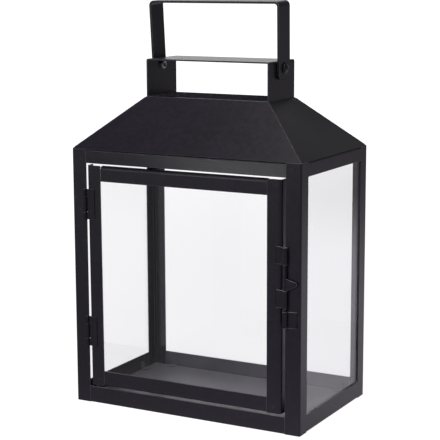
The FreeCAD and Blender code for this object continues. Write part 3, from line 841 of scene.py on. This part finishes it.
# ---- latch ----
def keepers():
    """Three keepers: a leaf on the front face and one rolled knuckle round the bolt."""
    bolt_lo, bolt_hi = box_mm("latch_bolt")
    bolt_y = (bolt_lo[Y] + bolt_hi[Y]) / 2
    bolt_x = bolt_lo[X] + (bolt_hi[Y] - bolt_lo[Y]) / 2
    for node in ("latch_keeper_lower", "latch_keeper_upper", "latch_keeper_post"):
        lo, hi = box_mm(node)
        way = -1 if node == "latch_keeper_post" else 1
        far_x = hi[X] if way < 0 else lo[X]
        reach = hi[X] - bolt_x if way > 0 else bolt_x - lo[X]
        radius = reach - LEAF_SHEET / 2 - KEEPER_CURL_EASE
        leaf_y = hi[Y] - LEAF_SHEET / 2
        roll_y = bolt_y + radius
        bend_x = bolt_x - way * KEEPER_BEND_X
        path = [(far_x, leaf_y), (bend_x, leaf_y), (bend_x + way * KEEPER_STEP, roll_y), (bolt_x, roll_y)]
        line = bent_line(path, KNUCKLE_BEND_RADIUS, curl=(radius, -way * CURL_TURN))
        leaf = strip(line, (lo[Z], hi[Z]), Z, LEAF_SHEET, corners=(KEEPER_CORNER, 0))
        # The keepers' rounded edges take a pale coat: a painted highlight.
        piece(node + "_rolled", [leaf], [node], [hardware_coat, keeper_edge_painted_highlight],
              LATCH_EDGE_ROUND)


def bolt():
    """Lifting bolt: a round rod with a flat thumb tab, its nose rounded, just clear of the lower keeper."""
    lo, hi = box_mm("latch_bolt")
    radius = (hi[Y] - lo[Y]) / 2
    x, y = lo[X] + radius, (lo[Y] + hi[Y]) / 2
    rod = turned(domed_rod(radius, hi[Z] - lo[Z], BOLT_DOME), (x, y, lo[Z]), (0, 0, 1), 32)
    foot = box_mm("latch_keeper_lower")[HI][Z] + TAB_SEAT_GAP
    nose = np.array([hi[X] - TAB_NOSE_RADIUS, foot + TAB_TIP_HEIGHT])
    a = np.radians(np.linspace(*TAB_NOSE_TURN, 9))
    outline = np.concatenate([
        [(x, foot), (x + radius, foot)],
        nose + TAB_NOSE_RADIUS * np.stack([np.cos(a), np.sin(a)], 1),
        [(x + radius, foot + TAB_HEIGHT), (x, foot + TAB_HEIGHT)],
    ])
    tab = plate(outline, Y, y - TAB_SHEET / 2, y + TAB_SHEET / 2)
    piece("latch_bolt_rod", [rod, tab], ["latch_bolt"], [hardware_coat, edge_coat_painted_highlight],
          LATCH_EDGE_ROUND)


folded_angles()
floor_sheet()
roof()
cap_bracket()
handle()
rivets()
panes()
clips()
hinges()
keepers()
bolt()


# ---- studio ----
CAMERA_PLACE = (0.5277, -0.9708, 0.3445)
CAMERA_TURN = (28.55, 10.13, -0.20)  # yaw, pitch and roll in degrees
CAMERA_LENS = 114.69
POOL_CENTRE = (0.3, 0.35, 0.0)
POOL_NEAR = 0.68
POOL_FAR = 0.19
BOARD_WAY = (-0.47, 0.87, 0.10)
BOARD_LIGHT = 1.04
ROOM_HORIZON = 0.11
ROOM_ZENITH = 0.02
SEEN_BACKDROP = 1.1


def camera():
    """Camera a little above the lantern and to its right, looking slightly down."""
    yaw, pitch, roll = (math.radians(v) for v in CAMERA_TURN)
    right = np.array([math.cos(yaw), math.sin(yaw), 0])
    level = np.array([-math.sin(yaw), math.cos(yaw), 0])
    up = np.array([0, 0, 1.0])
    look = level * math.cos(pitch) - up * math.sin(pitch)
    top = up * math.cos(pitch) + level * math.sin(pitch)
    side = right * math.cos(roll) + top * math.sin(roll)
    top = -right * math.sin(roll) + top * math.cos(roll)
    data = bpy.data.cameras.new("camera")
    data.lens, data.sensor_width = CAMERA_LENS, 36.0
    data.clip_start, data.clip_end = 0.01, 50
    obj = bpy.data.objects.new("camera", data)
    turn = Matrix([list(row) for row in np.stack([side, top, -look], 1)]).to_4x4()
    turn.translation = CAMERA_PLACE
    obj.matrix_world = turn
    bpy.context.scene.collection.objects.link(obj)
    bpy.context.scene.camera = obj


def seen_directly(tree):
    """1 for what is seen straight or only through glass, and 0 for light that falls on things."""
    path = add(tree, "ShaderNodeLightPath")
    bounces = add(tree, "ShaderNodeMath",
                  {0: path.outputs["Glossy Depth"], 1: path.outputs["Diffuse Depth"]}, operation="ADD")
    unbounced = add(tree, "ShaderNodeMath", {0: bounces.outputs[0], 1: 0.5}, operation="LESS_THAN")
    through = add(tree, "ShaderNodeMath",
                  {0: path.outputs["Is Transmission Ray"], 1: unbounced.outputs[0]}, operation="MULTIPLY")
    return add(tree, "ShaderNodeMath",
               {0: path.outputs["Is Camera Ray"], 1: through.outputs[0]}, operation="MAXIMUM").outputs[0]


def studio_floor():
    """Wide pale sweep. It shows white, and lights the lantern as a pool of light that fades outward."""
    size = 8.0
    mesh = bpy.data.meshes.new("studio_floor")
    corners = [(-size, -size, 0), (size, -size, 0), (size, size, 0), (-size, size, 0)]
    mesh.from_pydata(corners, [], [(0, 1, 2, 3)])
    floor = bpy.data.objects.new("studio_floor", mesh)
    bpy.context.scene.collection.objects.link(floor)
    material, tree, place = new_material("pale_paper_sweep")
    reach = add(tree, "ShaderNodeVectorMath", {0: place, 1: POOL_CENTRE}, operation="DISTANCE")
    pool = add(tree, "ShaderNodeMapRange",
               {"Value": reach.outputs["Value"], "From Min": 0.15, "From Max": 0.75,
                "To Min": POOL_NEAR, "To Max": POOL_FAR}, interpolation_type="SMOOTHSTEP")
    lit = add(tree, "ShaderNodeEmission",
              {"Color": linear("#faf4ff"), "Strength": pool.outputs[0]})
    soft = add(tree, "ShaderNodeBsdfDiffuse", {"Color": linear("#707070")})
    far = add(tree, "ShaderNodeMapRange",
              {"Value": reach.outputs["Value"], "From Min": 0.2, "From Max": 1.7,
               "To Min": 0.97, "To Max": 1.17})
    glow = add(tree, "ShaderNodeEmission", {"Strength": far.outputs[0]})
    shown = add(tree, "ShaderNodeAddShader", {0: soft.outputs[0], 1: glow.outputs[0]})
    mixed = add(tree, "ShaderNodeMixShader",
                {0: seen_directly(tree), 1: lit.outputs[0], 2: shown.outputs[0]})
    add(tree, "ShaderNodeOutputMaterial", {"Surface": mixed.outputs[0]})
    mesh.materials.append(material)


def world():
    """Dim studio, darker overhead, with a white backdrop board behind the lantern."""
    studio = bpy.data.worlds.new("studio")
    studio.use_nodes = True
    tree = studio.node_tree
    tree.nodes.clear()
    way = add(tree, "ShaderNodeTexCoord").outputs["Generated"]
    lean = add(tree, "ShaderNodeVectorMath", {0: way, 1: BOARD_WAY}, operation="DOT_PRODUCT")
    height = add(tree, "ShaderNodeSeparateXYZ", {0: way}).outputs["Z"]
    room = add(tree, "ShaderNodeMapRange",
               {"Value": height, "From Min": 0.0, "From Max": 0.8,
                "To Min": ROOM_HORIZON, "To Max": ROOM_ZENITH})
    board = add(tree, "ShaderNodeMapRange",
                {"Value": lean.outputs["Value"], "From Min": 0.86, "From Max": 0.95,
                 "To Min": room.outputs[0], "To Max": BOARD_LIGHT}, interpolation_type="SMOOTHSTEP")
    strength = add(tree, "ShaderNodeMix",
                   {0: seen_directly(tree), 2: board.outputs[0], 3: SEEN_BACKDROP}, data_type="FLOAT")
    light = add(tree, "ShaderNodeBackground",
                {"Color": linear("#ffffff"), "Strength": strength.outputs[0]})
    add(tree, "ShaderNodeOutputWorld", {"Surface": light.outputs[0]})
    bpy.context.scene.world = studio


def softbox(name, place, target, width, height, power, colour):
    """Rectangular area lamp aimed at a point."""
    data = bpy.data.lights.new(name, "AREA")
    data.shape, data.size, data.size_y = "RECTANGLE", width, height
    data.energy, data.color = power, linear(colour)[:3]
    obj = bpy.data.objects.new(name, data)
    aim = np.array(target, float) - np.array(place, float)
    back = -aim / np.linalg.norm(aim)
    side = np.cross((0, 0, 1), back)
    side /= np.linalg.norm(side)
    turn = Matrix([list(row) for row in np.stack([side, np.cross(back, side), back], 1)]).to_4x4()
    turn.translation = place
    obj.matrix_world = turn
    bpy.context.scene.collection.objects.link(obj)


camera()
studio_floor()
world()
softbox("front_softbox", (-0.1, -1.4, 1.05), (0, 0, 0.15), 0.9, 0.7, 6.0, "#fbf8ff")
softbox("top_softbox", (0.02, -0.2, 1.1), (0, 0, 0.2), 0.35, 0.3, 3.4, "#fffaf6")
softbox("low_softbox", (-0.9, -1.75, 0.46), (0.05, -0.06, 0.2), 0.5, 0.16, 2.0, "#ffffff")
bpy.context.scene.view_settings.view_transform = "Standard"
